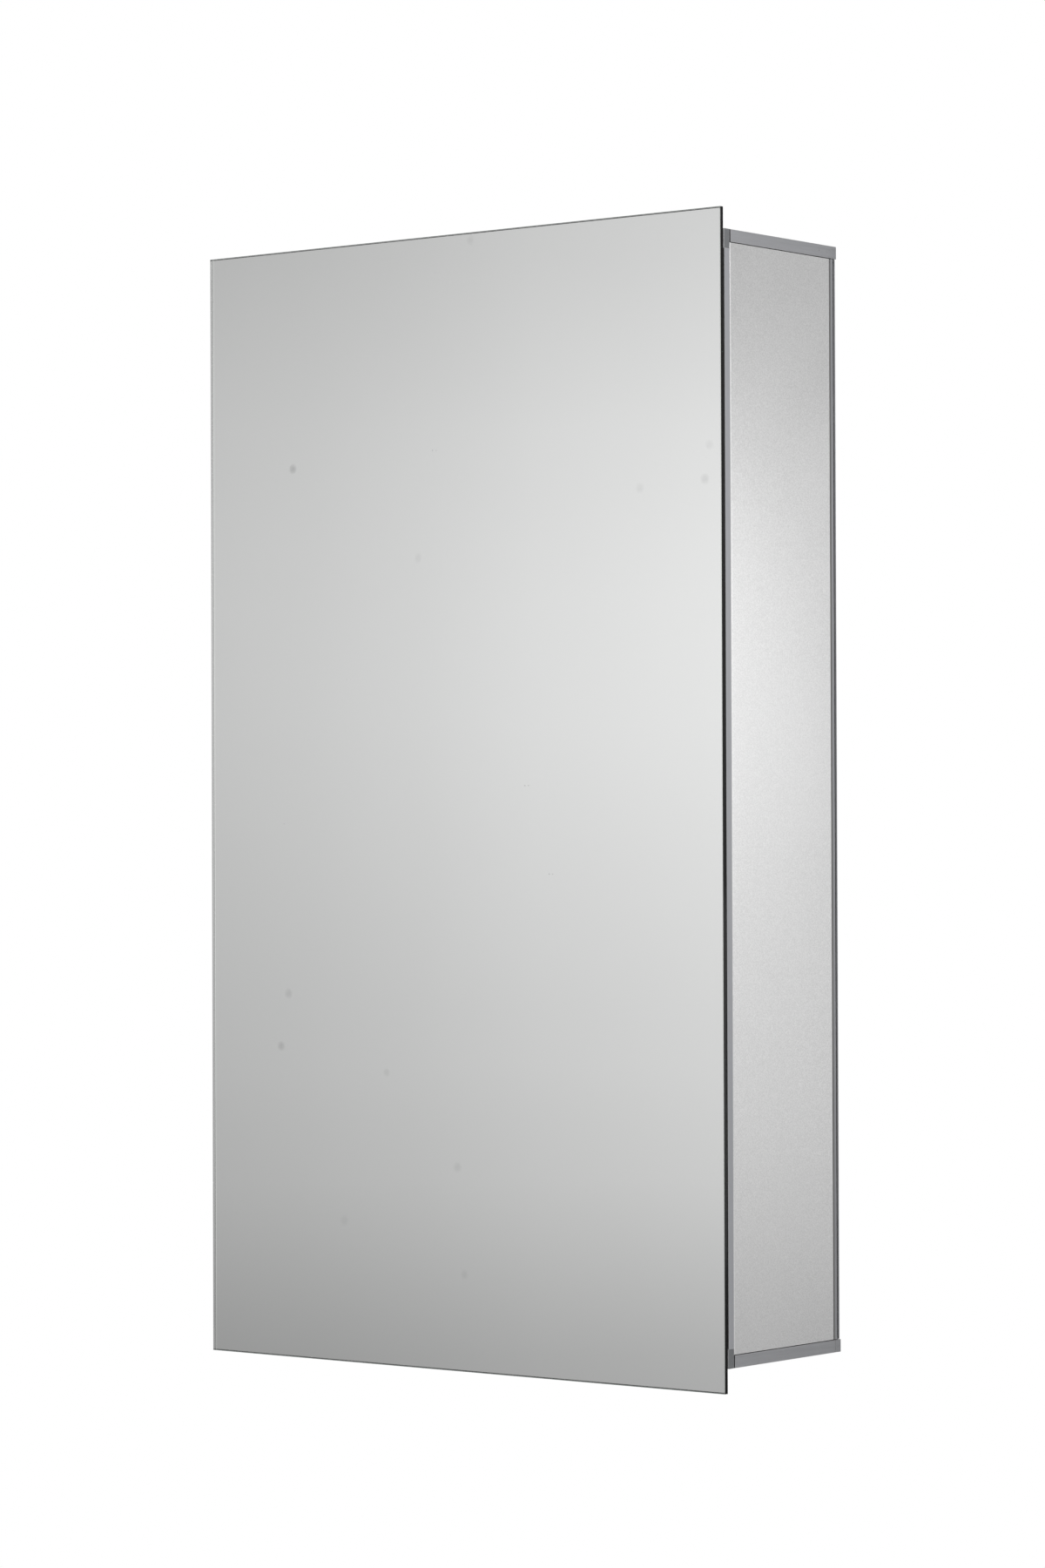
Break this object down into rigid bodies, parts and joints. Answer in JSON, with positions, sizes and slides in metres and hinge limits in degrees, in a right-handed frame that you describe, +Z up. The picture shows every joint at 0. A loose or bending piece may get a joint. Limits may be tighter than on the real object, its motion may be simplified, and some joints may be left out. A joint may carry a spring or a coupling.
{
  "type": "medicine cabinet",
  "caption": "Surface-mounted medicine cabinet with an overhanging mirror door on a continuous side hinge, an aluminium frame and body, glass shelves and a mirrored back.",
  "frame": {"origin": "centre of the four wall-screw holes, on the wall plane at the rear face of the back sheet", "axes": "+X towards the viewer's right, +Y into the wall, +Z up; the door faces -Y and is hinged on the -X side"},
  "size_m": [0.3815, 0.116, 0.6604],
  "materials": {
    "side_skin": "satin anodised sheet with a fine speckled texture",
    "cap_grey": "fine satin grey coating",
    "frame_aluminium": "satin anodised extrusion",
    "corner_plastic": "moulded grey plastic",
    "inner_sheet": "bright anodised sheet",
    "back_sheet": "zinc-coated steel sheet",
    "inner_mirror": "silvered glass",
    "door_glass": "silvered clear glass with ground edges",
    "mounting_tape": "foam bonding tape",
    "shelf_glass": "tempered clear glass, ground front edge",
    "white_plastic": "moulded white plastic",
    "steel": "zinc-plated steel",
    "magnet_block": "ferrite between steel pole plates",
    "bumper_rubber": "clear soft bumper"
  },
  "bodies": {
    "cabinet": {"left_side_panel": "side_skin", "right_side_panel": "side_skin", "top_cap": "cap_grey", "bottom_cap": "cap_grey", "hinge_stile": "frame_aluminium", "closing_stile": "frame_aluminium", "top_rail": "frame_aluminium", "bottom_rail": "frame_aluminium", "left_rear_profile": "frame_aluminium", "right_rear_profile": "frame_aluminium", "top_left_corner": "corner_plastic", "top_right_corner": "corner_plastic", "bottom_left_corner": "corner_plastic", "bottom_right_corner": "corner_plastic", "left_inner_wall": "inner_sheet", "right_inner_wall": "inner_sheet", "inner_top": "inner_sheet", "inner_bottom": "inner_sheet", "back_panel": "back_sheet", "back_mirror": "inner_mirror", "back_mirror_tape": "mounting_tape", "upper_shelf": "shelf_glass", "lower_shelf": "shelf_glass", "upper_shelf_supports": "white_plastic", "lower_shelf_supports": "white_plastic", "catch_housings": "white_plastic", "hinge_pin": "steel", "catch_screws": "steel", "cap_screws": "steel", "frame_rivets": "steel", "catch_magnets": "magnet_block", "closing_bumpers": "bumper_rubber"},
    "door": {"door_mirror": "door_glass", "door_tape": "mounting_tape", "door_pan": "inner_sheet", "door_rear_mirror": "inner_mirror", "door_rear_pads": "mounting_tape", "hinge_leaf": "frame_aluminium", "leaf_rivets": "steel", "strike_plates": "steel", "strike_rivets": "steel"}
  },
  "joints": [
    {"name": "door_hinge", "type": "hinge", "parent": "cabinet", "child": "door", "pos_m": [-0.1891, -0.1108, 0], "axis": [0, 0, -1], "range_deg": [0, 115]}
  ]
}
